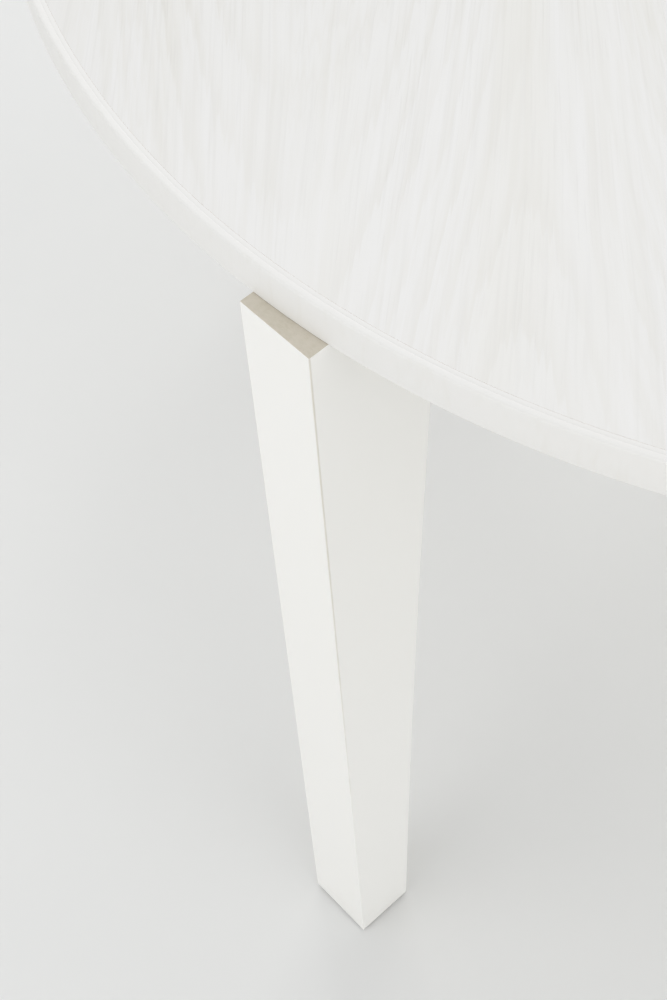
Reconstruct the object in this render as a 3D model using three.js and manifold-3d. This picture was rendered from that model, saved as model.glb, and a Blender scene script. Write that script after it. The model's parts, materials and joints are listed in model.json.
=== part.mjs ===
// Round fold-over gateleg table.
// Millimetres, +Z up.  Origin: centre of the round top, on the floor.
// +Y runs along the top's grain and along the seam between its two halves.
// The half at -X is fixed to the frame; the half at +X is the folding leaf, held up by two gates.
import * as THREE from 'three';
import { mergeVertices } from 'three/addons/utils/BufferGeometryUtils.js';
import Module from 'manifold-3d';

// ---- driving dimensions -------------------------------------------------
const TOP_RADIUS = 550;
const TOP_THICKNESS = 24;
const TABLE_HEIGHT = 750;
const LIPPING = 7;             // width of the solid edge ring seen from above
const TOP_ARRIS = 2.0;         // rounding of the ring's upper edge
const LOW_ARRIS = 1.0;
const SEAM = 1.0;              // gap between the two halves
const FIT = 0.3;               // gap between pieces that touch
const ROUND = 80;              // facets round the top

const LEG_WIDTH = 50;
const LEG_TOP_DEPTH = 80;
const LEG_FOOT_WIDTH = 54;
const LEG_FOOT_DEPTH = 46.7;
const LEG_STRAIGHT_FROM = 640; // above this height the inner face is upright
const LEG_SPREAD = 558;        // outer face from the centre, square to the leg's 45 degree line
const LEG_OFFSET = 43.3;       // leg's centre line from the diagonal, towards the seam's end
const GLIDE_HEIGHT = 2;
const GLIDE_INSET = 2;

const RAIL_THICKNESS = 24;
const RAIL_HEIGHT = 80;
const REAR_RAIL_X = -75;       // its inner face
const BLOCK_SIDE = 60;
const BOLT_RADIUS = 4;
const BOLT_HEIGHTS = [668, 704];

const PIVOT_X = -35;
const PIVOT_Y = 20;
const GATE_OPEN = Math.PI / 4;
const GATE_REACH = 521;        // pivot to the gate leg's outer face
const GATE_RAIL_Z = [654, 716];
const GATE_THICKNESS = 24;
const GATE_PIN_RADIUS = 4;
const TENON = { length: 24.8, width: 10, z0: 664, z1: 706 };

const HINGE_Y = 330;
const HINGE_HALF = 33;
const HINGE_AXIS_Z = TABLE_HEIGHT + 0.5;
const KNUCKLE_RADIUS = 2.5;
const HINGE_PIN_RADIUS = 1.2;
const PLATE_REACH = 22;
const PLATE_Z = [748.0, 749.9];

const UNDERSIDE = TABLE_HEIGHT - TOP_THICKNESS;

// ---- solids -------------------------------------------------------------
const wasm = await Module();
wasm.setup();

function outward(geometry) {
  const p = geometry.attributes.position, ix = geometry.index;
  const a = new THREE.Vector3(), b = new THREE.Vector3(), c = new THREE.Vector3();
  let volume = 0;
  for (let i = 0; i < ix.count; i += 3) {
    a.fromBufferAttribute(p, ix.getX(i));
    b.fromBufferAttribute(p, ix.getX(i + 1));
    c.fromBufferAttribute(p, ix.getX(i + 2));
    volume += a.dot(b.cross(c));
  }
  if (volume < 0) {
    for (let i = 0; i < ix.count; i += 3) {
      const t = ix.getX(i + 1);
      ix.setX(i + 1, ix.getX(i + 2));
      ix.setX(i + 2, t);
    }
  }
  return geometry;
}

function solid(geometry) {
  const g = geometry.clone();
  g.deleteAttribute('normal');
  g.deleteAttribute('uv');
  const m = outward(mergeVertices(g, 1e-4));
  // triangles that collapsed to a line when their corners merged are dropped
  const keep = [];
  for (let i = 0; i < m.index.count; i += 3) {
    const [a, b, c] = [m.index.getX(i), m.index.getX(i + 1), m.index.getX(i + 2)];
    if (a !== b && b !== c && c !== a) keep.push(a, b, c);
  }
  return new wasm.Manifold(new wasm.Mesh({
    numProp: 3,
    vertProperties: new Float32Array(m.attributes.position.array),
    triVerts: new Uint32Array(keep),
  }));
}

function geometryOf(manifold) {
  const mesh = manifold.getMesh();
  const g = new THREE.BufferGeometry();
  const n = mesh.vertProperties.length / mesh.numProp;
  const position = new Float32Array(n * 3);
  for (let i = 0; i < n; i++) {
    for (let k = 0; k < 3; k++) position[3 * i + k] = mesh.vertProperties[i * mesh.numProp + k];
  }
  g.setAttribute('position', new THREE.BufferAttribute(position, 3));
  g.setIndex(new THREE.BufferAttribute(new Uint32Array(mesh.triVerts), 1));
  g.computeVertexNormals();
  return g;
}

const box = (x0, x1, y0, y1, z0, z1) => {
  const g = new THREE.BoxGeometry(x1 - x0, y1 - y0, z1 - z0);
  g.translate((x0 + x1) / 2, (y0 + y1) / 2, (z0 + z1) / 2);
  return g;
};

// closed outline [[x, y], ...] raised from z0 to z1
const prism = (outline, z0, z1) => {
  const g = new THREE.ExtrudeGeometry(new THREE.Shape(outline.map(([x, y]) => new THREE.Vector2(x, y))),
    { depth: z1 - z0, bevelEnabled: false });
  g.translate(0, 0, z0);
  return g;
};

// profile [[radius, height], ...] turned about Z
const turned = (profile, segments) => {
  const g = new THREE.LatheGeometry(profile.map(([r, h]) => new THREE.Vector2(r, h)), segments);
  g.rotateX(Math.PI / 2);
  return g;
};

const rod = (r, z0, z1, segments = 12) => turned([[0, z0], [r, z0], [r, z1], [0, z1]], segments);

// a shape made along +Z is laid along direction d with its zero at point p
const laid = (geometry, p, d) => {
  const q = new THREE.Quaternion().setFromUnitVectors(new THREE.Vector3(0, 0, 1), new THREE.Vector3(...d).normalize());
  const g = geometry.clone();
  g.applyMatrix4(new THREE.Matrix4().compose(new THREE.Vector3(...p), q, new THREE.Vector3(1, 1, 1)));
  return g;
};

// ---- materials ----------------------------------------------------------
const finish = {
  foil: { color: 0xeae9e6, roughness: 0.5, metalness: 0.0 },
  lacquer: { color: 0xeeede9, roughness: 0.35, metalness: 0.0 },
  carcass: { color: 0xe6e4df, roughness: 0.5, metalness: 0.0 },
  timber: { color: 0xc8ab82, roughness: 0.65, metalness: 0.0 },
  steel: { color: 0xb4b6b8, roughness: 0.35, metalness: 1.0 },
  brass: { color: 0xc9a45c, roughness: 0.35, metalness: 1.0 },
  glide: { color: 0x3a3835, roughness: 0.8, metalness: 0.0 },
};

const table = new THREE.Group();
table.name = 'gateleg_table';

function piece(name, what, shape, parent = table) {
  const geometry = shape instanceof THREE.BufferGeometry ? geometryOf(solid(shape)) : geometryOf(shape);
  const mesh = new THREE.Mesh(geometry, new THREE.MeshStandardMaterial(finish[what]));
  mesh.name = name;
  parent.add(mesh);
  return mesh;
}

// ---- the round top, in two halves --------------------------------------
const far = TOP_RADIUS + 20;
const keepFixed = solid(box(-far, -SEAM / 2, -far, far, UNDERSIDE - 5, TABLE_HEIGHT + 5));
const keepLeaf = solid(box(SEAM / 2, far, -far, far, UNDERSIDE - 5, TABLE_HEIGHT + 5));

const panelRadius = TOP_RADIUS - LIPPING - FIT;
const disc = solid(rod(panelRadius, UNDERSIDE, TABLE_HEIGHT, ROUND));

const ringProfile = [[TOP_RADIUS - LIPPING, UNDERSIDE], [TOP_RADIUS - LOW_ARRIS, UNDERSIDE]];
for (const k of [1]) {
  const a = -Math.PI / 2 + k * Math.PI / 2;
  ringProfile.push([TOP_RADIUS - LOW_ARRIS + LOW_ARRIS * Math.cos(a), UNDERSIDE + LOW_ARRIS + LOW_ARRIS * Math.sin(a)]);
}
for (const k of [0, 0.5, 1]) {
  const a = k * Math.PI / 2;
  ringProfile.push([TOP_RADIUS - TOP_ARRIS + TOP_ARRIS * Math.cos(a), TABLE_HEIGHT - TOP_ARRIS + TOP_ARRIS * Math.sin(a)]);
}
ringProfile.push([TOP_RADIUS - LIPPING, TABLE_HEIGHT], [TOP_RADIUS - LIPPING, UNDERSIDE]);
const ring = solid(turned(ringProfile, ROUND));

// pockets and pilot holes for the two let-in hinges
const hingeScrews = (side) => [-HINGE_Y, HINGE_Y].flatMap((y) => [-20, 20].map((dy) => [side * 13, y + dy]));
function hingeRecess(half, side) {
  let body = half;
  for (const y of [-HINGE_Y, HINGE_Y]) {
    const reach = side * (PLATE_REACH + FIT);
    body = body.subtract(solid(box(Math.min(reach, -side * 2), Math.max(reach, -side * 2), y - HINGE_HALF - FIT, y + HINGE_HALF + FIT, PLATE_Z[0] - FIT, TABLE_HEIGHT + 3)));
    body = body.subtract(solid(laid(rod(KNUCKLE_RADIUS + 0.5, -HINGE_HALF - FIT, HINGE_HALF + FIT, 12), [0, y, HINGE_AXIS_Z], [0, 1, 0])));
  }
  for (const [x, y] of hingeScrews(side)) body = body.subtract(solid(laid(rod(1.95, 732, PLATE_Z[0]), [x, y, 0], [0, 0, 1])));
  return body;
}

// wooden buttons that hold the fixed half down: rail face, direction into the table
const frontInnerX = -(LEG_SPREAD - LEG_TOP_DEPTH) * Math.SQRT1_2 + LEG_OFFSET * Math.SQRT1_2 - LEG_WIDTH / 2 * Math.SQRT1_2 + RAIL_THICKNESS;
const buttonSpots = [[frontInnerX, 1, -170], [frontInnerX, 1, 170], [REAR_RAIL_X, -1, -170], [REAR_RAIL_X, -1, 170]];
const buttonScrewX = ([x, d]) => x + d * 22;

let fixedPanel = hingeRecess(disc.intersect(keepFixed), -1);
for (const spot of buttonSpots) fixedPanel = fixedPanel.subtract(solid(laid(rod(2.4, UNDERSIDE - 1, 743), [buttonScrewX(spot), spot[2], 0], [0, 0, 1])));
piece('fixed_top_panel', 'foil', fixedPanel);
piece('fixed_top_lipping', 'lacquer', ring.intersect(keepFixed));
piece('leaf_panel', 'foil', hingeRecess(disc.intersect(keepLeaf), 1));
piece('leaf_lipping', 'lacquer', ring.intersect(keepLeaf));

// ---- let-in hinges ------------------------------------------------------
const knuckleGap = 11.1;
for (const [label, y] of [['left', -HINGE_Y], ['right', HINGE_Y]]) {
  const along = (r, a, b, seg = 12) => solid(laid(rod(r, a, b, seg), [0, y, HINGE_AXIS_Z], [0, 1, 0]));
  const bore = along(HINGE_PIN_RADIUS + 0.25, -HINGE_HALF - 2, HINGE_HALF + 2, 12);
  for (const [kind, side] of [['fixed', -1], ['leaf', 1]]) {
    const [x0, x1] = side < 0 ? [-PLATE_REACH, -1] : [1, PLATE_REACH];
    let plate = solid(box(x0, x1, y - HINGE_HALF, y + HINGE_HALF, ...PLATE_Z));
    if (side < 0) {
      plate = plate.subtract(solid(box(-3.2, 3.2, y - knuckleGap - 0.2, y + knuckleGap + 0.2, 740, 760)));
      plate = plate.add(along(KNUCKLE_RADIUS, -HINGE_HALF, -knuckleGap - 0.2)).add(along(KNUCKLE_RADIUS, knuckleGap + 0.2, HINGE_HALF));
    } else {
      plate = plate.subtract(solid(box(-3.2, 3.2, y - HINGE_HALF - 1, y - knuckleGap + 0.2, 740, 760)));
      plate = plate.subtract(solid(box(-3.2, 3.2, y + knuckleGap - 0.2, y + HINGE_HALF + 1, 740, 760)));
      plate = plate.add(along(KNUCKLE_RADIUS, -knuckleGap + 0.2, knuckleGap - 0.2));
    }
    plate = plate.subtract(bore);
    const screwHole = turned([[0, 747], [1.95, 747], [1.95, 748.1], [3.6, 750], [3.6, 751], [0, 751]], 10);
    const spots = hingeScrews(side).filter(([, sy]) => Math.abs(sy - y) < 40);
    for (const [x, sy] of spots) plate = plate.subtract(solid(laid(screwHole, [x, sy, 0], [0, 0, 1])));
    piece(`hinge_${label}_${kind}_plate`, 'brass', plate);
    spots.forEach(([x, sy], i) => {
      const screw = piece(`hinge_${label}_${kind}_screw_${i + 1}`, 'brass',
        turned([[0, 733], [1.0, 734], [1.6, 736], [1.6, 748.2], [3.2, 749.8], [0, 749.8]], 8));
      screw.position.set(x, sy, 0);
    });
  }
  const pin = piece(`hinge_${label}_pin`, 'brass', rod(HINGE_PIN_RADIUS, -HINGE_HALF, HINGE_HALF, 12));
  pin.position.set(0, y, HINGE_AXIS_Z);
  pin.rotation.x = -Math.PI / 2;
}

// ---- legs ---------------------------------------------------------------
// local frame of a leg: x inward from its upright outer face, y across, z up
const legDepth = (z) => LEG_FOOT_DEPTH + (LEG_TOP_DEPTH - LEG_FOOT_DEPTH) * (0.723 * z / LEG_STRAIGHT_FROM + 0.277 * (z / LEG_STRAIGHT_FROM) ** 2);
function legSolid(top) {
  const outline = [[0, GLIDE_HEIGHT]];
  const steps = 7;
  for (let i = 0; i <= steps; i++) {
    const z = GLIDE_HEIGHT + (LEG_STRAIGHT_FROM - GLIDE_HEIGHT) * i / steps;
    outline.push([legDepth(z), z]);
  }
  outline.push([LEG_TOP_DEPTH, top], [0, top]);
  const b = 0.5;
  const g = new THREE.ExtrudeGeometry(new THREE.Shape(outline.map(([x, y]) => new THREE.Vector2(x, y))),
    { depth: LEG_FOOT_WIDTH - 2 * b, bevelEnabled: true, bevelThickness: b, bevelSize: b, bevelOffset: -b, bevelSegments: 1 });
  g.translate(0, 0, -LEG_FOOT_WIDTH / 2 + b);
  g.rotateX(Math.PI / 2);
  // seen from outside, the leg widens slightly from the frame down to the foot
  const w = LEG_WIDTH / 2, f = LEG_FOOT_WIDTH / 2;
  const front = prism([[-f, 0], [f, 0], [w, LEG_STRAIGHT_FROM], [w, top + 5], [-w, top + 5], [-w, LEG_STRAIGHT_FROM]], -5, LEG_TOP_DEPTH + 10);
  front.rotateX(Math.PI / 2);
  front.rotateZ(Math.PI / 2);
  return solid(g).intersect(solid(front));
}
const glideShape = (() => { // a flat pad, 2 mm in from the foot's outline, eased below
  const x = LEG_FOOT_DEPTH / 2 - GLIDE_INSET, y = LEG_FOOT_WIDTH / 2 - GLIDE_INSET;
  const lower = new THREE.BoxGeometry(2 * x, 2 * y, GLIDE_HEIGHT - FIT);
  lower.translate(0, 0, (GLIDE_HEIGHT - FIT) / 2);
  const p = lower.attributes.position;
  for (let i = 0; i < p.count; i++) {
    if (p.getZ(i) < 0.01) p.setXY(i, p.getX(i) * (1 - 0.8 / x), p.getY(i) * (1 - 0.8 / y));
  }
  return lower;
})();

const legOuter = (s) => [
  (-LEG_SPREAD + LEG_OFFSET) * Math.SQRT1_2,
  s * (LEG_SPREAD + LEG_OFFSET) * Math.SQRT1_2,
];
const blockFace = (() => { // distance of the corner block's 45 degree face from the leg's outer face
  const [ox, oy] = legOuter(-1);
  const cx = frontInnerX + FIT, cy = ox + oy + (LEG_TOP_DEPTH) * Math.SQRT2 - (frontInnerX - RAIL_THICKNESS) - LEG_WIDTH * Math.SQRT1_2 + RAIL_THICKNESS + FIT;
  return { cx, cy, u: (cx + cy + BLOCK_SIDE - ox - oy) * Math.SQRT1_2 };
})();
const sideOuterY = blockFace.cy - FIT - RAIL_THICKNESS; // outer face of the side rail at -Y

for (const [label, s] of [['left', -1], ['right', 1]]) {
  const corner = new THREE.Group();
  const [ox, oy] = legOuter(s);
  corner.position.set(ox, oy, 0);
  corner.rotation.z = -s * Math.PI / 4;
  table.add(corner);
  let leg = legSolid(UNDERSIDE - FIT);
  for (const z of BOLT_HEIGHTS) leg = leg.subtract(solid(laid(rod(BOLT_RADIUS + 0.4, 42, 100), [0, 0, z], [1, 0, 0])));
  piece(`fixed_leg_${label}`, 'lacquer', leg, corner);
  piece(`fixed_glide_${label}`, 'glide', glideShape, corner).position.set(LEG_FOOT_DEPTH / 2, 0, 0);
  BOLT_HEIGHTS.forEach((z, i) => {
    const head = blockFace.u + FIT;
    const bolt = solid(rod(BOLT_RADIUS, 45, head + 0.5))
      .add(solid(rod(8.5, head, head + 1.5)))
      .add(solid(rod(6.8, head + 1.2, head + 7, 6)));
    const mesh = piece(`leg_bolt_${label}_${i ? 'upper' : 'lower'}`, 'steel', bolt, corner);
    mesh.position.set(0, 0, z);
    mesh.rotation.y = Math.PI / 2;
  });
}

// ---- frame --------------------------------------------------------------
const railZ = [UNDERSIDE - RAIL_HEIGHT, UNDERSIDE - FIT];
const chamferCut = (s) => { // everything outside the leg's inner face
  const [ox, oy] = legOuter(s);
  const g = box(-300, LEG_TOP_DEPTH + FIT, -200, 200, 600, 760);
  g.rotateZ(-s * Math.PI / 4);
  g.translate(ox, oy, 0);
  return solid(g);
};
const boltHoles = (s) => BOLT_HEIGHTS.map((z) => {
  const [ox, oy] = legOuter(s);
  const g = laid(rod(BOLT_RADIUS + 0.5, 60, 160), [0, 0, z], [1, 0, 0]);
  g.rotateZ(-s * Math.PI / 4);
  g.translate(ox, oy, 0);
  return solid(g);
});
const buttonSlot = ([x, d, y]) => solid(box(Math.min(x - d * 9.5, x + d * 2), Math.max(x - d * 9.5, x + d * 2), y - 18, y + 18, 707.5, 716.5));

let frontRail = solid(box(frontInnerX - RAIL_THICKNESS, frontInnerX, -385, 385, ...railZ));
for (const s of [-1, 1]) {
  frontRail = frontRail.subtract(chamferCut(s));
  for (const hole of boltHoles(s)) frontRail = frontRail.subtract(hole);
}
for (const spot of buttonSpots.slice(0, 2)) frontRail = frontRail.subtract(buttonSlot(spot));
piece('front_rail', 'carcass', frontRail);

for (const [label, s] of [['left', -1], ['right', 1]]) {
  const ys = [s * -sideOuterY, s * (-sideOuterY - RAIL_THICKNESS)];
  let rail = solid(box(frontInnerX + FIT, REAR_RAIL_X - FIT, Math.min(...ys), Math.max(...ys), ...railZ)).subtract(chamferCut(s));
  for (const hole of boltHoles(s)) rail = rail.subtract(hole);
  piece(`side_rail_${label}`, 'carcass', rail);

  const cy = s * -blockFace.cy;
  let block = solid(prism(s < 0
    ? [[blockFace.cx, cy], [blockFace.cx + BLOCK_SIDE, cy], [blockFace.cx, cy + BLOCK_SIDE]]
    : [[blockFace.cx, cy], [blockFace.cx, cy - BLOCK_SIDE], [blockFace.cx + BLOCK_SIDE, cy]], 652, 720));
  for (const hole of boltHoles(s)) block = block.subtract(hole);
  piece(`corner_block_front_${label}`, 'timber', block);

  const rx = REAR_RAIL_X - FIT;
  piece(`corner_block_rear_${label}`, 'timber', prism(s < 0
    ? [[rx, cy], [rx, cy + 45], [rx - 45, cy]]
    : [[rx, cy], [rx - 45, cy], [rx, cy - 45]], 652, 720));
}

let rearRail = solid(box(REAR_RAIL_X, REAR_RAIL_X + RAIL_THICKNESS, sideOuterY, -sideOuterY, ...railZ));
for (const spot of buttonSpots.slice(2)) rearRail = rearRail.subtract(buttonSlot(spot));
const bracketScrews = [[-41, 668], [-41, 702], [41, 668], [41, 702]];
for (const [y, z] of bracketScrews) rearRail = rearRail.subtract(solid(laid(rod(2.4, 0, 30), [REAR_RAIL_X + 4, y, z], [1, 0, 0])));
piece('rear_rail', 'carcass', rearRail);

buttonSpots.forEach((spot, i) => {
  const [x, d, y] = spot;
  const span = (a, b) => [Math.min(x + d * a, x + d * b), Math.max(x + d * a, x + d * b)];
  let button = solid(box(...span(FIT, 38), y - 14, y + 14, 708, UNDERSIDE - FIT))
    .add(solid(box(...span(-8.5, FIT + 1), y - 14, y + 14, 708, 716)));
  button = button.subtract(solid(laid(rod(2.5, 700, 730), [buttonScrewX(spot), y, 0], [0, 0, 1])));
  piece(`top_button_${i + 1}`, 'timber', button);
  const screw = piece(`button_screw_${i + 1}`, 'steel',
    turned([[0, 704.6], [3.2, 704.6], [4.4, 706], [4.4, 707.6], [2, 707.6], [2, 738], [0.9, 741.5], [0, 741.5]], 8));
  screw.position.set(buttonScrewX(spot), y, 0);
});

// ---- gate pivots on the rear rail --------------------------------------
const plateX = [REAR_RAIL_X + RAIL_THICKNESS + FIT, REAR_RAIL_X + RAIL_THICKNESS + FIT + 3];
const ears = [[650, 653], [717, 720]];
let bracket = solid(box(...plateX, -52, 52, 650, 720));
for (const y of [-PIVOT_Y, PIVOT_Y]) {
  for (const [z0, z1] of ears) {
    bracket = bracket.add(solid(box(plateX[0], PIVOT_X, y - 12, y + 12, z0, z1)))
      .add(solid(laid(rod(12, z0, z1, 16), [PIVOT_X, y, 0], [0, 0, 1])));
  }
  bracket = bracket.subtract(solid(laid(rod(GATE_PIN_RADIUS + 0.35, 640, 730), [PIVOT_X, y, 0], [0, 0, 1])));
}
const bracketHole = turned([[0, -5], [2.5, -5], [2.5, 1.1], [4.9, 3.3], [4.9, 6], [0, 6]], 10);
for (const [y, z] of bracketScrews) bracket = bracket.subtract(solid(laid(bracketHole, [plateX[0], y, z], [1, 0, 0])));
piece('pivot_bracket', 'steel', bracket);
bracketScrews.forEach(([y, z], i) => {
  const screw = piece(`bracket_screw_${i + 1}`, 'steel',
    turned([[0, -18], [0.9, -17], [2.0, -14], [2.0, 1.1], [4.3, 2.9], [0, 2.9]], 8));
  screw.position.set(plateX[0], y, z);
  screw.rotation.y = Math.PI / 2;
});

// ---- gates --------------------------------------------------------------
for (const [label, s] of [['left', -1], ['right', 1]]) {
  const gate = new THREE.Group(); // local x runs out along the gate, from the pivot
  gate.position.set(PIVOT_X, s * PIVOT_Y, 0);
  gate.rotation.z = s * GATE_OPEN;
  table.add(gate);

  const pin = piece(`gate_pin_${label}`, 'steel',
    turned([[0, 645], [3.2, 645], [GATE_PIN_RADIUS, 646], [GATE_PIN_RADIUS, 720.3], [7, 720.3], [7, 722.3], [6, 723.3], [0, 723.3]], 12), gate);
  pin.position.set(0, 0, 0);

  const inner = GATE_REACH - LEG_TOP_DEPTH;
  const half = GATE_THICKNESS / 2;
  let rail = solid(box(0, inner - FIT, -half, half, ...GATE_RAIL_Z))
    .add(solid(rod(half, ...GATE_RAIL_Z, 16)))
    .add(solid(box(inner - FIT - 1, inner - FIT + TENON.length, -TENON.width / 2, TENON.width / 2, TENON.z0, TENON.z1)));
  rail = rail.subtract(solid(rod(GATE_PIN_RADIUS + 0.35, 640, 730)));
  piece(`gate_rail_${label}`, 'lacquer', rail, gate);

  const post = new THREE.Group();
  post.position.set(GATE_REACH, 0, 0);
  post.rotation.z = Math.PI;
  gate.add(post);
  let leg = legSolid(UNDERSIDE - 0.8);
  leg = leg.subtract(solid(box(LEG_TOP_DEPTH - TENON.length - 0.4, LEG_TOP_DEPTH + 5,
    -TENON.width / 2 - FIT, TENON.width / 2 + FIT, TENON.z0 - FIT, TENON.z1 + FIT)));
  piece(`gate_leg_${label}`, 'lacquer', leg, post);
  piece(`gate_glide_${label}`, 'glide', glideShape, post).position.set(LEG_FOOT_DEPTH / 2, 0, 0);

  // stop under the leaf, beside the gate leg
  const near = LEG_WIDTH / 2 + 0.5;
  piece(`gate_stop_${label}`, 'timber',
    s < 0 ? box(455, 515, near, near + 16, 711.7, UNDERSIDE - FIT) : box(455, 515, -near - 16, -near, 711.7, UNDERSIDE - FIT), gate);
}

export default table;
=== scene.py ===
import json
import math

import bmesh
import bpy
from mathutils import Matrix, Vector

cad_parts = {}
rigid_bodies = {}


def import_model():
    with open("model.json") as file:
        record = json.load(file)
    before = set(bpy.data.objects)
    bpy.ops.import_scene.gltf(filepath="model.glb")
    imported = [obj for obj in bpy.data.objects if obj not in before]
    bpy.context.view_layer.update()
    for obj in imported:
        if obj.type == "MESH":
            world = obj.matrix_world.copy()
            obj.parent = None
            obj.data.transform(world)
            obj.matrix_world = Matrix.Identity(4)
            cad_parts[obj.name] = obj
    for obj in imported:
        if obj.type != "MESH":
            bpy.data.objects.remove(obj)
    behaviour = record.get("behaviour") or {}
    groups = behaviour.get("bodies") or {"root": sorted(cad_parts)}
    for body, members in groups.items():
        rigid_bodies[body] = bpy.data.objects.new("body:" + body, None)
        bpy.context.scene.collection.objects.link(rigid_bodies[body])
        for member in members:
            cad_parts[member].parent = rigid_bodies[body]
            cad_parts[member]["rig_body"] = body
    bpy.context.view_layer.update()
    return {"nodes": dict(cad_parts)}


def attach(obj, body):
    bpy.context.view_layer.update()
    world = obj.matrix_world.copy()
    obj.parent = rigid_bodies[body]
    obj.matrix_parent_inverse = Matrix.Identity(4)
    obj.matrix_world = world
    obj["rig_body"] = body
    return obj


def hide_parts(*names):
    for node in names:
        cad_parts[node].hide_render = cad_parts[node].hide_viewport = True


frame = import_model()
scene = bpy.context.scene
MM = 0.001
Q = math.sqrt(0.5)

# ------------------------------------------------------------------ sizes, in millimetres
R = 549.95            # rim
LIP = 6.42            # width of the edge ring at the top face
Z0, Z1 = 726.0, 750.0
PANEL_R = 543.50
SEAM = 0.5
LEG_W = 50.0
LEG_TOP, LEG_FOOT = 80.0, 46.7
FOOT_W = 54.0         # the outer face widens from LEG_W at STRAIGHT to this at the floor
LEG_Z = 2.0
STRAIGHT = 640.0
SPREAD, OFFSET = 558.0, 43.3
PIVOT = (-35.0, 20.0)
REACH = 521.0
HINGE_Y = 330.0
AXIS_Z = 750.5

# ================================================================== mesh tools


def link(name, me):
    o = bpy.data.objects.new(name, me)
    scene.collection.objects.link(o)
    return o


def from_bm(name, bm):
    bmesh.ops.recalc_face_normals(bm, faces=bm.faces[:])
    me = bpy.data.meshes.new(name)
    bm.to_mesh(me)
    bm.free()
    return link(name, me)


def raised(name, outline, a, b, matrix=None):
    """A closed outline [(x, y)] in mm, raised from a to b, then placed."""
    bm = bmesh.new()
    n = len(outline)
    lo = [bm.verts.new((x * MM, y * MM, a * MM)) for x, y in outline]
    hi = [bm.verts.new((x * MM, y * MM, b * MM)) for x, y in outline]
    bm.faces.new(lo[::-1])
    bm.faces.new(hi)
    for i in range(n):
        j = (i + 1) % n
        bm.faces.new((lo[i], lo[j], hi[j], hi[i]))
    if matrix is not None:
        bm.transform(matrix)
    return from_bm(name, bm)


def block(name, x0, x1, y0, y1, z0, z1, matrix=None):
    return raised(name, [(x0, y0), (x1, y0), (x1, y1), (x0, y1)], z0, z1, matrix)


def turned(name, profile, seg=32, matrix=None):
    """A profile [(r, z)] in mm that starts and ends on the axis, turned about Z."""
    bm = bmesh.new()
    rings = []
    for r, z in profile:
        if r < 1e-6:
            rings.append([bm.verts.new((0, 0, z * MM))])
        else:
            rings.append([bm.verts.new((r * MM * math.cos(2 * math.pi * i / seg), r * MM * math.sin(2 * math.pi * i / seg), z * MM)) for i in range(seg)])
    for a, b in zip(rings, rings[1:]):
        if len(a) == 1 and len(b) == 1:
            continue
        for i in range(seg):
            j = (i + 1) % seg
            if len(a) == 1:
                bm.faces.new((a[0], b[i], b[j]))
            elif len(b) == 1:
                bm.faces.new((a[i], b[0], a[j]))
            else:
                bm.faces.new((a[i], b[i], b[j], a[j]))
    if matrix is not None:
        bm.transform(matrix)
    return from_bm(name, bm)


def axis_matrix(point, direction):
    """Takes +Z to direction and the origin to point, in mm."""
    q = Vector((0, 0, 1)).rotation_difference(Vector(direction).normalized())
    return Matrix.Translation(Vector(point) * MM) @ q.to_matrix().to_4x4()


def hole(r, a, b, point=(0, 0, 0), direction=(0, 0, 1), seg=32, matrix=None):
    m = axis_matrix(point, direction)
    if matrix is not None:
        m = matrix @ m
    return turned("cut", [(0, a), (r, a), (r, b), (0, b)], seg, m)


def bake_modifiers(o):
    dg = bpy.context.evaluated_depsgraph_get()
    me = bpy.data.meshes.new_from_object(o.evaluated_get(dg), preserve_all_data_layers=True, depsgraph=dg)
    o.modifiers.clear()
    old = o.data
    o.data = me
    bpy.data.meshes.remove(old)
    return o


def bevel(o, width, segments=3, angle=32):
    m = o.modifiers.new("edge", "BEVEL")
    m.width = width * MM
    m.segments = segments
    m.limit_method = "ANGLE"
    m.angle_limit = math.radians(angle)
    m.use_clamp_overlap = True
    return bake_modifiers(o)


def boolean(o, others, how="DIFFERENCE"):
    for c in others:
        m = o.modifiers.new("b", "BOOLEAN")
        m.operation = how
        m.solver = "EXACT"
        m.object = c
    bake_modifiers(o)
    for c in others:
        me = c.data
        bpy.data.objects.remove(c)
        bpy.data.meshes.remove(me)
    return o


def tidy(o, angle=35, flat=True):
    """Drops stray bits and sets smooth shading with sharp corners kept."""
    bm = bmesh.new()
    bm.from_mesh(o.data)
    bmesh.ops.remove_doubles(bm, verts=bm.verts[:], dist=2e-6)
    bmesh.ops.dissolve_degenerate(bm, edges=bm.edges[:], dist=2e-6)
    loose = [v for v in bm.verts if not v.link_faces]
    bmesh.ops.delete(bm, geom=loose, context="VERTS")
    bm.to_mesh(o.data)
    bm.free()
    o.data.shade_smooth()
    o.data.set_sharp_from_angle(angle=math.radians(angle))
    if flat:       # large faces keep their own normals, the narrow rounds between them take up the turn
        m = o.modifiers.new("flat", "WEIGHTED_NORMAL")
        m.keep_sharp = True
        m.weight = 100
        m.mode = "FACE_AREA"
        bake_modifiers(o)
    return o


def stand_for(o, node, material):
    """o takes the place of a CAD node and moves with its body."""
    if isinstance(material, (list, tuple)):
        for m in material:
            o.data.materials.append(m)
    else:
        o.data.materials.append(material)
    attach(o, frame["nodes"][node]["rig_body"])
    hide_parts(node)
    return o


def copy_of(o, name, matrix):
    me = o.data.copy()
    me.transform(matrix)
    return link(name, me)


# ================================================================== materials


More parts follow.
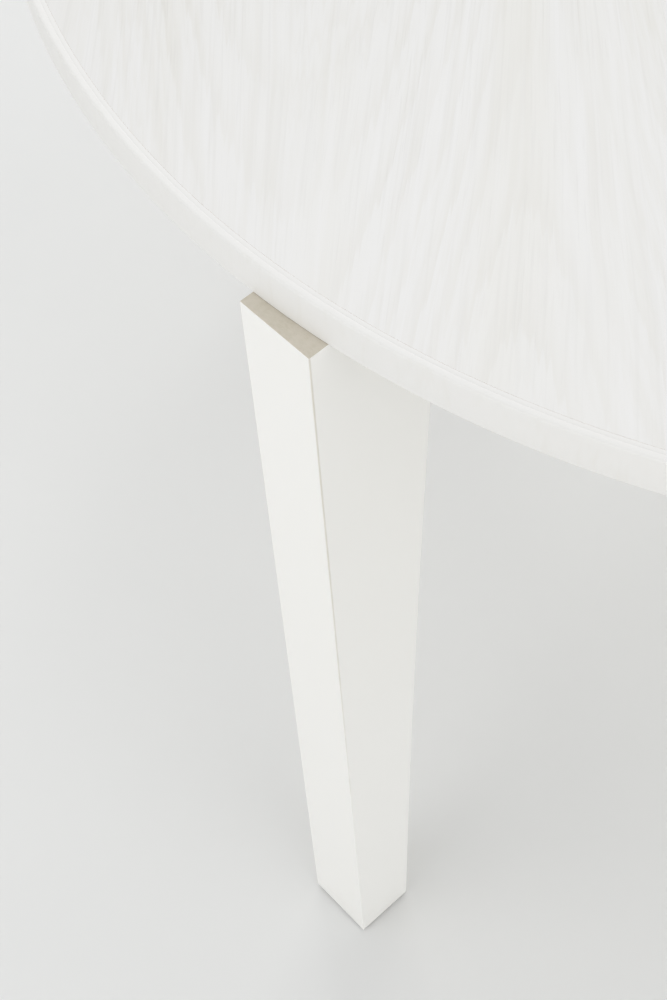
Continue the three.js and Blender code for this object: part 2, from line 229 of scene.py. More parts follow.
class Nodes:
    def __init__(self, name):
        self.mat = bpy.data.materials.new(name)
        self.mat.use_nodes = True
        self.t = self.mat.node_tree
        self.t.nodes.clear()
        self.out = self.t.nodes.new("ShaderNodeOutputMaterial")
        self.b = self.t.nodes.new("ShaderNodeBsdfPrincipled")
        self.t.links.new(self.b.outputs[0], self.out.inputs[0])
        self.co = self.t.nodes.new("ShaderNodeTexCoord").outputs["Object"]

    def _in(self, socket, value):
        if isinstance(value, bpy.types.NodeSocket):
            self.t.links.new(value, socket)
        elif value is not None:
            socket.default_value = value

    def set(self, name, value):
        self._in(self.b.inputs[name], value)

    def m(self, op, a, b=None, c=None, clamp=False):
        n = self.t.nodes.new("ShaderNodeMath")
        n.operation = op
        n.use_clamp = clamp
        for s, v in zip(n.inputs, (a, b, c)):
            self._in(s, v)
        return n.outputs[0]

    def scaled(self, scale, loc=(0, 0, 0), rot=(0, 0, 0), vec=None):
        n = self.t.nodes.new("ShaderNodeMapping")
        self._in(n.inputs["Vector"], vec if vec is not None else self.co)
        n.inputs["Location"].default_value = loc
        n.inputs["Rotation"].default_value = rot
        n.inputs["Scale"].default_value = scale
        return n.outputs[0]

    def noise(self, vec, scale=1.0, detail=2.0, rough=0.5, distortion=0.0):
        n = self.t.nodes.new("ShaderNodeTexNoise")
        self._in(n.inputs["Vector"], vec)
        n.inputs["Scale"].default_value = scale
        n.inputs["Detail"].default_value = detail
        n.inputs["Roughness"].default_value = rough
        n.inputs["Distortion"].default_value = distortion
        return n.outputs["Fac"]

    def voronoi(self, vec, scale=1.0, feature="F1", out="Distance", randomness=1.0):
        n = self.t.nodes.new("ShaderNodeTexVoronoi")
        n.feature = feature
        self._in(n.inputs["Vector"], vec)
        n.inputs["Scale"].default_value = scale
        n.inputs["Randomness"].default_value = randomness
        return n.outputs[out]

    def span(self, x, a, b, lo=0.0, hi=1.0, smooth=True):
        n = self.t.nodes.new("ShaderNodeMapRange")
        n.interpolation_type = "SMOOTHSTEP" if smooth else "LINEAR"
        self._in(n.inputs[0], x)
        for i, v in zip((1, 2, 3, 4), (a, b, lo, hi)):
            n.inputs[i].default_value = v
        return n.outputs[0]

    def xyz(self, vec=None):
        n = self.t.nodes.new("ShaderNodeSeparateXYZ")
        self._in(n.inputs[0], vec if vec is not None else self.co)
        return n.outputs

    def vec(self, x, y, z):
        n = self.t.nodes.new("ShaderNodeCombineXYZ")
        for s, v in zip(n.inputs, (x, y, z)):
            self._in(s, v)
        return n.outputs[0]

    def attr(self, name, out="Fac"):
        n = self.t.nodes.new("ShaderNodeAttribute")
        n.attribute_name = name
        return n.outputs[out]

    def mix(self, f, a, b, blend="MIX"):
        n = self.t.nodes.new("ShaderNodeMix")
        n.data_type = "RGBA"
        n.blend_type = blend
        self._in(n.inputs[0], f)
        for s, v in ((n.inputs[6], a), (n.inputs[7], b)):
            if isinstance(v, (tuple, list)) and len(v) == 3:
                v = (*v, 1.0)
            self._in(s, v)
        return n.outputs[2]

    def bump(self, height, strength, distance):
        n = self.t.nodes.new("ShaderNodeBump")
        n.inputs["Strength"].default_value = strength
        n.inputs["Distance"].default_value = distance
        self._in(n.inputs["Height"], height)
        self._in(self.b.inputs["Normal"], n.outputs[0])


def srgb(*c):
    def f(v):
        v /= 255.0
        return v / 12.92 if v <= 0.04045 else ((v + 0.055) / 1.055) ** 2.4
    return tuple(f(v) for v in c)


def oak_foil():
    """White-washed oak: pale cathedral figure, soft beige streaks, fine pores along +Y."""
    n = Nodes("white_oak_foil")
    x, y, z = n.xyz()
    # the grain bends left and right round the crowns of the figure
    wander = n.noise(n.scaled((1.6, 0.8, 1.0), loc=(3.1, 1.7, 0)), 1.0, 2.0, 0.45)
    fine = n.noise(n.scaled((11.0, 3.0, 1.0), loc=(7.3, 2.2, 0)), 1.0, 2.0, 0.5)
    xs = n.m("MULTIPLY_ADD", wander, 0.07, x)
    across = n.m("COSINE", n.m("MULTIPLY", n.m("ADD", xs, 0.379), 2 * math.pi / 0.23))
    along = n.m("SINE", n.m("MULTIPLY", n.m("ADD", y, 0.30), 2 * math.pi / 1.03))
    bend = n.m("MULTIPLY", n.m("MULTIPLY", across, along), 0.0125)
    gx = n.m("ADD", n.m("ADD", xs, bend), n.m("MULTIPLY", fine, 0.012))
    g = n.vec(gx, y, 0.0)
    # growth rings: a crown at every 0.23 m across, their tips toward +Y
    arch = n.m("SINE", n.m("MULTIPLY", n.m("ADD", gx, 0.2135), math.pi / 0.23))
    crown = n.m("MULTIPLY", n.m("SQRT", n.m("MULTIPLY_ADD", arch, arch, 0.05)), 0.60)
    sway = n.noise(n.scaled((7.0, 1.3, 1.0), loc=(0.4, 4.4, 0), vec=g), 1.0, 2.0, 0.5)
    step = n.noise(n.scaled((420.0, 5.0, 1.0), loc=(6.1, 0.4, 0), vec=g), 1.0, 1.0, 0.5)
    height = n.m("ADD", n.m("ADD", y, crown), n.m("MULTIPLY_ADD", sway, 0.26, n.m("MULTIPLY_ADD", step, 0.050, -0.082)))
    f = n.m("FRACT", n.m("MULTIPLY", height, 1 / 0.078))
    ring = n.m("MULTIPLY", n.span(f, 0.0, 0.10), n.span(f, 0.12, 0.62, 1.0, 0.0))
    ring_here = n.span(n.noise(n.scaled((10.0, 2.2, 1.0), loc=(11.0, 4.824, 0), vec=g), 1.0, 2.0, 0.5), 0.38, 0.66)
    ring = n.m("MULTIPLY", ring, n.m("MULTIPLY_ADD", ring_here, 0.80, 0.20))
    f2 = n.m("FRACT", n.m("MULTIPLY", height, 1 / 0.0291))
    ring2 = n.m("MULTIPLY", n.span(f2, 0.0, 0.15), n.span(f2, 0.18, 0.65, 1.0, 0.0))
    ring2 = n.m("MULTIPLY", ring2, n.span(n.noise(n.scaled((16.0, 3.0, 1.0), loc=(4.0, 1.0, 0), vec=g), 1.0, 2.0, 0.5), 0.46, 0.66))
    # beige bands and narrow streaks
    band = n.span(n.noise(n.scaled((24.0, 1.7, 1.0), loc=(1.0, 9.0, 0), vec=g), 1.0, 2.5, 0.5, 0.2), 0.44, 0.70)
    streak = n.span(n.noise(n.scaled((140.0, 4.0, 1.0), loc=(5.0, 3.0, 0), vec=g), 1.0, 2.0, 0.55), 0.48, 0.74)
    light = n.span(n.noise(n.scaled((200.0, 5.0, 1.0), loc=(2.0, 8.0, 0), vec=g), 1.0, 2.0, 0.5), 0.50, 0.72)
    # pores: short dark dashes, denser along the rings
    pore = n.span(n.noise(n.scaled((1000.0, 30.0, 1.0), loc=(0.2, 0.4, 0), vec=g), 1.0, 1.0, 0.5), 0.58, 0.70)
    pore_here = n.span(n.noise(n.scaled((60.0, 3.0, 1.0), loc=(8.0, 6.0, 0), vec=g), 1.0, 2.0, 0.5), 0.40, 0.62)
    pore = n.m("MULTIPLY", pore, n.m("ADD", n.m("MULTIPLY_ADD", pore_here, 0.45, 0.20), n.m("MULTIPLY", ring, 0.35)))
    hair = n.span(n.noise(n.scaled((520.0, 9.0, 1.0), loc=(4.2, 7.4, 0), vec=g), 1.0, 1.0, 0.5), 0.50, 0.72)

    col = n.mix(n.m("MULTIPLY", band, 0.55), srgb(*FOIL), srgb(*FOIL_BEIGE))
    col = n.mix(n.m("MULTIPLY", ring, 0.50), col, srgb(*FOIL_RING))
    col = n.mix(n.m("MULTIPLY", ring2, 0.22), col, srgb(*FOIL_RING))
    col = n.mix(n.m("MULTIPLY", streak, 0.32), col, srgb(*FOIL_RING))
    col = n.mix(n.m("MULTIPLY", light, 0.36), col, srgb(*FOIL_LIGHT))
    col = n.mix(n.m("MULTIPLY", hair, 0.24), col, srgb(*FOIL_PORE))
    col = n.mix(n.m("MULTIPLY", pore, 0.30), col, srgb(*FOIL_PORE))
    cloud = n.noise(n.scaled((3.0, 2.0, 1.0), loc=(9, 9, 0)), 1.0, 2.0, 0.5)
    col = n.mix(n.span(cloud, 0.3, 0.7, 0.0, 0.10), col, srgb(*FOIL_BEIGE))
    # painted light: the top is painted lighter toward the front of the fixed half, standing in for the brighter light
    # that falls there
    col = n.mix(n.span(y, -0.50, -0.02, 0.42, 0.0), col, srgb(244, 243, 241))
    n.set("Base Color", col)
    rough = n.m("ADD", n.m("MULTIPLY_ADD", pore, 0.12, 0.48), n.m("MULTIPLY", streak, 0.04))
    n.set("Roughness", n.m("MULTIPLY_ADD", cloud, 0.06, rough))
    n.set("Specular IOR Level", 0.36)
    height = n.m("ADD", n.m("MULTIPLY", pore, -1.0), n.m("MULTIPLY", hair, -0.35))
    n.bump(height, 0.30, 0.00006)
    return n.mat


def edge_of(n, where):
    """How near a point is to an arris, 1 on it and 0 beyond 2.4 mm; and how near the floor."""
    if where == "leg":        # local: x inward from the outer face, y across, z up
        u, w, z = n.xyz(n.attr("local", "Vector"))
        t = n.m("MINIMUM", n.m("MULTIPLY", z, 1 / 0.640), 1.0)
        depth = n.m("MULTIPLY_ADD", n.m("MULTIPLY", t, n.m("MULTIPLY_ADD", t, 0.277, 0.723)), 0.0333, 0.0467)
        du = n.m("MINIMUM", n.m("ABSOLUTE", u), n.m("ABSOLUTE", n.m("SUBTRACT", depth, u)))
        dw = n.m("SUBTRACT", n.m("MULTIPLY_ADD", t, -0.002, 0.027), n.m("ABSOLUTE", w))
        dz = n.m("MINIMUM", n.m("ABSOLUTE", n.m("SUBTRACT", z, 0.002)), n.m("ABSOLUTE", n.m("SUBTRACT", 0.7256, z)))
        lo, hi = n.m("MINIMUM", du, dw), n.m("MAXIMUM", du, dw)
        d = n.m("MAXIMUM", lo, n.m("MINIMUM", hi, dz))
        # the outer face is a facing: its joint shows on the side faces as a thin line that fades toward the foot
        joint = n.m("MULTIPLY", n.span(u, 0.0004, 0.0013, 1.0, 0.0), n.span(z, 0.12, 0.62, 0.0, 1.0))
        joint = n.m("MULTIPLY", joint, n.span(dw, 0.0002, 0.0006, 1.0, 0.0))
        return n.span(d, 0.0001, 0.0012, 1.0, 0.0), n.span(z, 0.004, 0.045, 1.0, 0.0), joint
    if where == "gate":       # local: x along the rail, y across, z up
        u, w, z = n.xyz(n.attr("local", "Vector"))
        dw = n.m("SUBTRACT", 0.012, n.m("ABSOLUTE", w))
        dz = n.m("MINIMUM", n.m("ABSOLUTE", n.m("SUBTRACT", z, 0.654)), n.m("ABSOLUTE", n.m("SUBTRACT", 0.716, z)))
        return n.span(n.m("MAXIMUM", dw, dz), 0.0003, 0.0024, 1.0, 0.0), None, None
    if where == "frame":
        z = n.xyz()[2]
        return n.span(z, 0.6463, 0.6484, 1.0, 0.0), None, None
    return n.attr("edge"), None, None


def lacquer(name, base, warm, rough=0.40, peel=0.08, wear=0.30, coat=0.06, where="rim"):
    """Sprayed white lacquer: orange peel, slight tint and gloss variation, and rubbed arrises."""
    n = Nodes(name)
    cloud = n.noise(n.scaled((3.0, 3.0, 2.0), loc=(1.3, 0.2, 4.0)), 1.0, 2.0, 0.45)
    fleck = n.noise(n.scaled((700.0, 700.0, 700.0)), 1.0, 2.0, 0.6)
    edge, low, joint = edge_of(n, where)
    col = n.mix(n.span(cloud, 0.30, 0.72, 0.0, 0.35), srgb(*base), srgb(*warm))
    col = n.mix(n.span(fleck, 0.66, 0.82, 0.0, 0.025), col, srgb(196, 192, 182))
    scuff = n.noise(n.scaled((160.0, 160.0, 30.0), loc=(2.0, 5.0, 1.0)), 1.0, 3.0, 0.6)
    worn = n.m("MULTIPLY", edge, n.span(scuff, 0.50, 0.72))
    col = n.mix(n.m("MULTIPLY", worn, wear), col, srgb(212, 207, 193))
    rubbed = n.span(n.noise(n.scaled((22.0, 22.0, 9.0), loc=(5.0, 1.0, 2.0)), 1.0, 3.0, 0.55), 0.48, 0.72)
    r = n.m("MULTIPLY_ADD", cloud, 0.05, rough - 0.03)
    r = n.m("ADD", r, n.m("MULTIPLY_ADD", worn, 0.14, n.m("MULTIPLY", rubbed, 0.05)))
    if low is not None:
        dust = n.m("MULTIPLY", low, n.span(n.noise(n.scaled((90.0, 90.0, 50.0)), 1.0, 3.0, 0.6), 0.40, 0.75))
        col = n.mix(n.m("MULTIPLY", dust, 0.07), col, srgb(196, 191, 180))
        r = n.m("MULTIPLY_ADD", dust, 0.08, r)
    if joint is not None:
        col = n.mix(n.m("MULTIPLY", joint, 0.55), col, srgb(196, 188, 170))
    n.set("Base Color", col)
    n.set("Roughness", r)
    n.set("Specular IOR Level", 0.5)
    n.b.inputs["Coat Weight"].default_value = coat
    n.b.inputs["Coat Roughness"].default_value = 0.30
    skin = n.noise(n.scaled((650.0, 650.0, 650.0), loc=(0.1, 0.5, 0.9)), 1.0, 1.0, 0.4)
    wide = n.noise(n.scaled((75.0, 75.0, 50.0), loc=(0.8, 0.1, 0.4)), 1.0, 1.0, 0.4)
    n.bump(n.m("MULTIPLY_ADD", wide, 0.8, skin), peel, 0.00010)
    return n.mat


def leg_end():
    """The upper end of a leg: flat beige, darker than the lacquer, with faint end grain."""
    n = Nodes("beige_leg_end")
    u = n.attr("local", "Vector")
    a = n.noise(n.scaled((900.0, 420.0, 10.0), vec=u), 1.0, 3.0, 0.6)
    b = n.noise(n.scaled((60.0, 160.0, 10.0), vec=u), 1.0, 2.0, 0.5)
    dots = n.voronoi(n.scaled((700.0, 700.0, 10.0), vec=u))
    col = n.mix(n.span(a, 0.35, 0.70, 0.0, 0.65), srgb(*END), srgb(*END_DARK))
    col = n.mix(n.span(b, 0.35, 0.70, 0.0, 0.50), col, srgb(*END_LIGHT))
    col = n.mix(n.span(dots, 0.16, 0.05, 0.0, 0.35), col, srgb(150, 140, 118))
    n.set("Base Color", col)
    n.set("Roughness", n.m("MULTIPLY_ADD", a, 0.15, 0.62))
    n.set("Specular IOR Level", 0.3)
    n.bump(n.m("ADD", a, n.m("MULTIPLY", dots, 0.6)), 0.25, 0.0001)
    return n.mat


def melamine():
    """The white backing sheet under the top, with a faint fleck."""
    n = Nodes("underside_sheet")
    a = n.noise(n.scaled((300.0, 300.0, 300.0)), 1.0, 3.0, 0.6)
    b = n.noise(n.scaled((6.0, 4.0, 1.0)), 1.0, 2.0, 0.5)
    col = n.mix(n.span(a, 0.5, 0.75, 0.0, 0.35), srgb(228, 227, 223), srgb(212, 209, 202))
    col = n.mix(n.span(b, 0.3, 0.7, 0.0, 0.30), col, srgb(220, 217, 208))
    n.set("Base Color", col)
    n.set("Roughness", n.m("MULTIPLY_ADD", a, 0.14, 0.50))
    n.bump(a, 0.10, 0.0001)
    return n.mat


def board_edge():
    """Sawn particleboard, where holes and pockets cut the panel."""
    n = Nodes("board_core")
    a = n.voronoi(n.scaled((420.0, 420.0, 600.0)), out="Color")
    b = n.noise(n.scaled((500.0, 500.0, 500.0)), 1.0, 3.0, 0.6)
    sep = n.xyz(a)
    col = n.mix(sep[0], srgb(196, 164, 120), srgb(150, 116, 78))
    col = n.mix(n.span(b, 0.35, 0.7, 0.0, 0.6), col, srgb(214, 190, 150))
    n.set("Base Color", col)
    n.set("Roughness", n.m("MULTIPLY_ADD", b, 0.2, 0.7))
    n.bump(b, 0.4, 0.0003)
    return n.mat


def pine(name, along, tone=(206, 172, 122), dark=(170, 126, 78)):
    """Planed softwood. along is the axis of its grain."""
    n = Nodes(name)
    stretch = [1.0, 1.0, 1.0]
    for i in range(3):
        stretch[i] = 4.0 if i == along else 60.0
    warp = n.noise(n.scaled(tuple(s * 0.4 for s in stretch)), 1.0, 2.0, 0.5)
    field = n.noise(n.scaled(tuple(s * 0.55 for s in stretch), loc=(1, 2, 3)), 1.0, 1.5, 0.4, 0.3)
    rings = n.m("SINE", n.m("MULTIPLY_ADD", field, 60.0, n.m("MULTIPLY", warp, 8.0)))
    fibre = n.noise(n.scaled(tuple(s * 14 for s in stretch)), 1.0, 2.0, 0.6)
    col = n.mix(n.span(rings, 0.1, 1.0, 0.0, 0.75), srgb(*tone), srgb(*dark))
    col = n.mix(n.span(fibre, 0.42, 0.72, 0.0, 0.35), col, srgb(226, 200, 158))
    n.set("Base Color", col)
    n.set("Roughness", n.m("MULTIPLY_ADD", fibre, 0.18, 0.52))
    n.set("Specular IOR Level", 0.35)
    n.bump(n.m("ADD", fibre, n.m("MULTIPLY", rings, 0.25)), 0.25, 0.0002)
    return n.mat


def metal(name, colour, dark, rough=0.32, brush=(40.0, 900.0, 900.0), tarnish=0.35):
    """Plated or drawn metal: brushed lines and handling marks."""
    n = Nodes(name)
    lines = n.noise(n.scaled(brush), 1.0, 2.0, 0.6)
    spots = n.noise(n.scaled((90.0, 90.0, 90.0), loc=(3, 1, 2)), 1.0, 3.0, 0.6)
    col = n.mix(n.span(spots, 0.42, 0.75, 0.0, tarnish), srgb(*colour), srgb(*dark))
    col = n.mix(n.span(lines, 0.35, 0.75, 0.0, 0.20), col, srgb(*dark))
    n.set("Base Color", col)
    n.b.inputs["Metallic"].default_value = 1.0
    n.set("Roughness", n.m("ADD", n.m("MULTIPLY_ADD", spots, 0.18, rough - 0.06), n.m("MULTIPLY", lines, 0.10)))
    n.bump(lines, 0.12, 0.00005)
    return n.mat


def dark_plastic():
    n = Nodes("glide_plastic")
    a = n.noise(n.scaled((900.0, 900.0, 900.0)), 1.0, 2.0, 0.6)
    b = n.noise(n.scaled((120.0, 120.0, 120.0)), 1.0, 3.0, 0.6)
    col = n.mix(n.span(b, 0.4, 0.75, 0.0, 0.6), srgb(84, 82, 78), srgb(122, 119, 112))
    n.set("Base Color", col)
    n.set("Roughness", n.m("MULTIPLY_ADD", a, 0.20, 0.55))
    n.bump(a, 0.35, 0.00015)
    return n.mat


FOIL = (224, 223, 220)
FOIL_BEIGE = (220, 218, 210)
FOIL_RING = (212, 209, 200)
FOIL_LIGHT = (229, 228, 227)
FOIL_PORE = (205, 203, 198)
END, END_DARK, END_LIGHT = (208, 201, 186), (199, 192, 174), (215, 208, 195)

M_FOIL = oak_foil()
M_EDGE = lacquer("edge_lacquer", (232, 231, 228), (230, 228, 223), rough=0.50, peel=0.06, wear=0.14, coat=0.0)
M_LEG = lacquer("leg_lacquer", (243, 242, 238), (240, 238, 232), rough=0.42, where="leg")
M_GATE = lacquer("gate_lacquer", (243, 242, 238), (240, 238, 232), rough=0.42, where="gate")
M_FRAME = lacquer("frame_paint", (236, 235, 231), (229, 226, 217), rough=0.52, peel=0.22, wear=0.35, coat=0.0, where="frame")
M_END = leg_end()
M_UNDER = melamine()
M_CORE = board_edge()
M_PINE_X = pine("pine_x", 0)
M_PINE_Y = pine("pine_y", 1)
M_PINE_Z = pine("pine_z", 2, tone=(201, 165, 116), dark=(164, 120, 74))
M_STEEL = metal("zinc_steel", (202, 204, 206), (150, 153, 156))
M_BRASS = metal("satin_brass", (214, 182, 118), (158, 124, 70), rough=0.30, brush=(900.0, 60.0, 900.0), tarnish=0.45)
M_GLIDE = dark_plastic()

# ================================================================== the top

HINGES = (("left", -HINGE_Y), ("right", HINGE_Y))
BUTTONS = [(-300.66, 1, -170), (-300.66, 1, 170), (-75.0, -1, -170), (-75.0, -1, 170)]


def half_arc(r, side, count=240):
    """Points round the half at side, from its +Y end to its -Y end for the fixed half."""
    tip = math.asin(SEAM / r)
    a0, a1 = (math.pi / 2 + tip, 3 * math.pi / 2 - tip) if side < 0 else (-math.pi / 2 + tip, math.pi / 2 - tip)
    return [(r * math.cos(a0 + (a1 - a0) * i / count), r * math.sin(a0 + (a1 - a0) * i / count)) for i in range(count + 1)]


def panel(node, side):
    o = raised(node + "_v", half_arc(PANEL_R, side), Z0, Z1)
    cuts = []
    for _, y in HINGES:
        a, b = sorted((side * 22.3, -side * 3.0))
        cuts.append(block("cut", a, b, y - 33.3, y + 33.3, 747.7, 753))
        for dy in (-20, 20):
            cuts.append(hole(1.95, 732, 748, (side * 13, y + dy, 0), seg=16))
    if side < 0:
        for x, d, y in BUTTONS:
            cuts.append(hole(2.4, 720, 743, (x + d * 22, y, 0), seg=16))
    boolean(o, cuts)
    tidy(o, 30)
    for m in (M_FOIL, M_UNDER, M_CORE, M_EDGE):
        o.data.materials.append(m)
    for p in o.data.polygons:
        c = p.center
        if p.normal.z > 0.9 and c.z > 0.7499:
            p.material_index = 0
        elif p.normal.z < -0.9 and c.z < 0.7261:
            p.material_index = 1
        elif abs(p.normal.x) > 0.95 and abs(c.x) < 0.0006:
            p.material_index = 3
        else:
            p.material_index = 2
    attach(o, frame["nodes"][node]["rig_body"])
    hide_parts(node)
    return o


panel("fixed_top_panel", -1)
panel("leaf_panel", 1)


def lipping(node, side, count=240):
    inner = R - LIP             # 0.03 mm clear of the panel
    prof = [(inner, Z0 + 0.3), (inner, Z1 - 0.06)]
    for k in (30, 60, 90):   # eased edge at the seam to the panel
        a = math.radians(k)
        prof.append((inner + 0.06 - 0.06 * math.cos(a), Z1 - 0.06 + 0.06 * math.sin(a)))
    g = 546.1                # a fine scored line in the ring
    prof += [(g - 0.42, Z1), (g - 0.2, Z1 - 0.06), (g, Z1 - 0.14), (g + 0.2, Z1 - 0.06), (g + 0.42, Z1)]
    ra = 1.1
    for i in range(9):
        a = math.pi / 2 - i * math.pi / 16
        prof.append((R - ra + ra * math.cos(a), Z1 - ra + ra * math.sin(a)))
    rb = 0.5
    for i in range(6):
        a = -i * math.pi / 10
        prof.append((R - rb + rb * math.cos(a), Z0 + rb + rb * math.sin(a)))
    prof.append((inner + 0.3, Z0))
    bm = bmesh.new()
    columns = []
    edge_value = []
    for r, z in prof:
        tip = math.asin(SEAM / r)
        a0, a1 = (math.pi / 2 + tip, 3 * math.pi / 2 - tip) if side < 0 else (-math.pi / 2 + tip, math.pi / 2 - tip)
        columns.append([bm.verts.new((r * MM * math.cos(a0 + (a1 - a0) * i / count), r * MM * math.sin(a0 + (a1 - a0) * i / count), z * MM)) for i in range(count + 1)])
    m = len(prof)
    for k in range(m):
        a, b = columns[k], columns[(k + 1) % m]
        for i in range(count):
            bm.faces.new((a[i], a[i + 1], b[i + 1], b[i]))
    bm.faces.new([c[0] for c in columns])
    bm.faces.new([c[-1] for c in columns][::-1])
    o = from_bm(node + "_v", bm)
    o.data.shade_smooth()
    o.data.set_sharp_from_angle(angle=math.radians(38))
    at = o.data.attributes.new("edge", "FLOAT", "POINT")
    vals = []
    for v in o.data.vertices:
        r = math.hypot(v.co.x, v.co.y) * 1000
        d = math.hypot(R - r, Z1 - v.co.z * 1000)
        e = math.hypot(R - r, v.co.z * 1000 - Z0)
        vals.append(max(0.0, 1 - min(d, e) / 2.2))
    at.data.foreach_set("value", vals)
    stand_for(o, node, M_EDGE)


lipping("fixed_top_lipping", -1)
lipping("leaf_lipping", 1)

def rounded_rect(x0, x1, y0, y1, r, seg=6):
    pts = []
    for cx, cy, a0 in ((x1 - r, y1 - r, 0), (x0 + r, y1 - r, 90), (x0 + r, y0 + r, 180), (x1 - r, y0 + r, 270)):
        for i in range(seg + 1):
            a = math.radians(a0 + 90 * i / seg)
            pts.append((cx + r * math.cos(a), cy + r * math.sin(a)))
    return pts


# ================================================================== legs


def leg_depth(z):
    t = z / STRAIGHT
    return LEG_FOOT + (LEG_TOP - LEG_FOOT) * (0.723 * t + 0.277 * t * t)


def leg_matrix(origin, angle):
    return Matrix.Translation(Vector((origin[0], origin[1], 0)) * MM) @ Matrix.Rotation(angle, 4, "Z")


def make_leg(node, origin, angle, top, cuts):
    """A leg in its own frame: x inward from the upright outer face, y across, z up."""
    outline = [(0.0, LEG_Z)]
    steps = 28
    for i in range(steps + 1):
        z = LEG_Z + (STRAIGHT - LEG_Z) * i / steps
        outline.append((leg_depth(z), z))
    outline += [(LEG_TOP, top), (0.0, top)]
    # raised along z, then stood up: outline x -> x, outline y -> z
    stand = Matrix(((1, 0, 0, 0), (0, 0, -1, 0), (0, 1, 0, 0), (0, 0, 0, 1)))
    o = raised(node + "_v", outline, -LEG_W / 2, LEG_W / 2, stand)
    bm = bmesh.new()
    bm.from_mesh(o.data)
    bmesh.ops.bisect_plane(bm, geom=bm.verts[:] + bm.edges[:] + bm.faces[:], plane_co=(0, 0, STRAIGHT * MM), plane_no=(0, 0, 1), dist=1e-6)
    for v in bm.verts:
        v.co.y *= 1 + (FOOT_W / LEG_W - 1) * max(0.0, 1 - v.co.z / (STRAIGHT * MM))
    bm.to_mesh(o.data)
    bm.free()
    bevel(o, 0.45, 3, 40)
    made = [c() for c in cuts]
    if made:
        boolean(o, made)
    tidy(o, 38)
    me = o.data
    me.attributes.new("local", "FLOAT_VECTOR", "POINT")
    me.attributes["local"].data.foreach_set("vector", [c for v in me.vertices for c in v.co])
    me.materials.append(M_LEG)
    me.materials.append(M_END)
    for p in me.polygons:
        inside = 655 < p.center.z * 1000 < top - 5 and 2 < p.center.x * 1000 < 78 and abs(p.center.y) * 1000 < 22
        p.material_index = 1 if (p.normal.z > 0.95 and p.center.z * 1000 > top - 0.6) or inside else 0
    me.transform(leg_matrix(origin, angle))
    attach(o, frame["nodes"][node]["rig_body"])
    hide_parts(node)
    return o


def leg_outer(s):
    return ((-SPREAD + OFFSET) * Q, s * (SPREAD + OFFSET) * Q)


BOLT_Z = (668, 704)
GATE_ANGLE = math.pi / 4
for label, s in (("left", -1), ("right", 1)):
    make_leg(f"fixed_leg_{label}", leg_outer(s), -s * math.pi / 4, 725.7,
             [lambda z=z: hole(4.4, 42, 100, (0, 0, z), (1, 0, 0), seg=24) for z in BOLT_Z])
    ga = s * GATE_ANGLE
    post = (PIVOT[0] + REACH * math.cos(ga), s * PIVOT[1] + REACH * math.sin(ga))
    make_leg(f"gate_leg_{label}", post, ga + math.pi, 725.2,
             [lambda: block("cut", 54.8, 90, -5.3, 5.3, 663.7, 706.3)])

# ================================================================== glides
PAD_X, PAD_Y = LEG_FOOT / 2 - 2.05, FOOT_W / 2 - 2.05      # half sizes of the pad
pad_bm = bmesh.new()
pad_rings = []
for inset, z in ((0.85, 0.0), (0.5, 0.08), (0.2, 0.25), (0.05, 0.5), (0.02, 0.9), (0.02, 1.4), (0.15, 1.6), (0.4, 1.7)):
    outline = rounded_rect(-PAD_X + inset, PAD_X - inset, -PAD_Y + inset, PAD_Y - inset, 1.6 if z else 1.2, 5)
    pad_rings.append([pad_bm.verts.new((x * MM, y * MM, z * MM)) for x, y in outline])
for lower, upper in zip(pad_rings, pad_rings[1:]):
    for i in range(len(lower)):
        j = (i + 1) % len(lower)
        pad_bm.faces.new((lower[i], lower[j], upper[j], upper[i]))
pad_bm.faces.new(pad_rings[0][::-1])
pad_bm.faces.new(pad_rings[-1])
glide = from_bm("glide_master", pad_bm)
tidy(glide, 40)
for label, s in (("left", -1), ("right", 1)):
    ox, oy = leg_outer(s)
    ga = s * GATE_ANGLE
    places = {
        f"fixed_glide_{label}": (ox + 23.35 * Q, oy - s * 23.35 * Q, -ga),
        f"gate_glide_{label}": (PIVOT[0] + (REACH - 23.35) * math.cos(ga), s * PIVOT[1] + (REACH - 23.35) * math.sin(ga), ga),
    }
    for node, (x, y, turn) in places.items():
        g = copy_of(glide, node + "_v", Matrix.Translation(Vector((x, y, 0)) * MM) @ Matrix.Rotation(turn, 4, "Z"))
        stand_for(g, node, M_GLIDE)
bpy.data.objects.remove(glide)

# ================================================================== frame
FX = -300.66          # inner face of the front rail
XO = FX - 24          # its outer face
OX, OY = leg_outer(-1)
CX = FX + 0.3
CY = OX + OY + LEG_TOP * math.sqrt(2) - (FX - 24) - LEG_W * Q + 24 + 0.3
SY = CY - 0.3 - 24    # outer face of the side rail at -Y
FACE = OX + OY + (LEG_TOP + 0.3) * math.sqrt(2)   # x + y on the chamfer at -Y
RZ = (646.0, 725.7)


def mirrored(outline, s):
    return outline if s < 0 else [(x, -y) for x, y in outline][::-1]


def bolt_cut(s, z):
    m = leg_matrix(leg_outer(s), -s * math.pi / 4)
    return hole(4.5, 60, 160, (0, 0, z), (1, 0, 0), seg=24, matrix=m)


def rail(node, outline, cuts):
    o = raised(node + "_v", outline, *RZ)
    bevel(o, 0.8, 2, 30)
    if cuts:
        boolean(o, cuts)
    tidy(o, 35)
    stand_for(o, node, M_FRAME)
    return o


def button_slot(x, d, y):
    a, b = sorted((x - d * 9.5, x + d * 2))
    return block("cut", a, b, y - 18, y + 18, 707.5, 716.5)


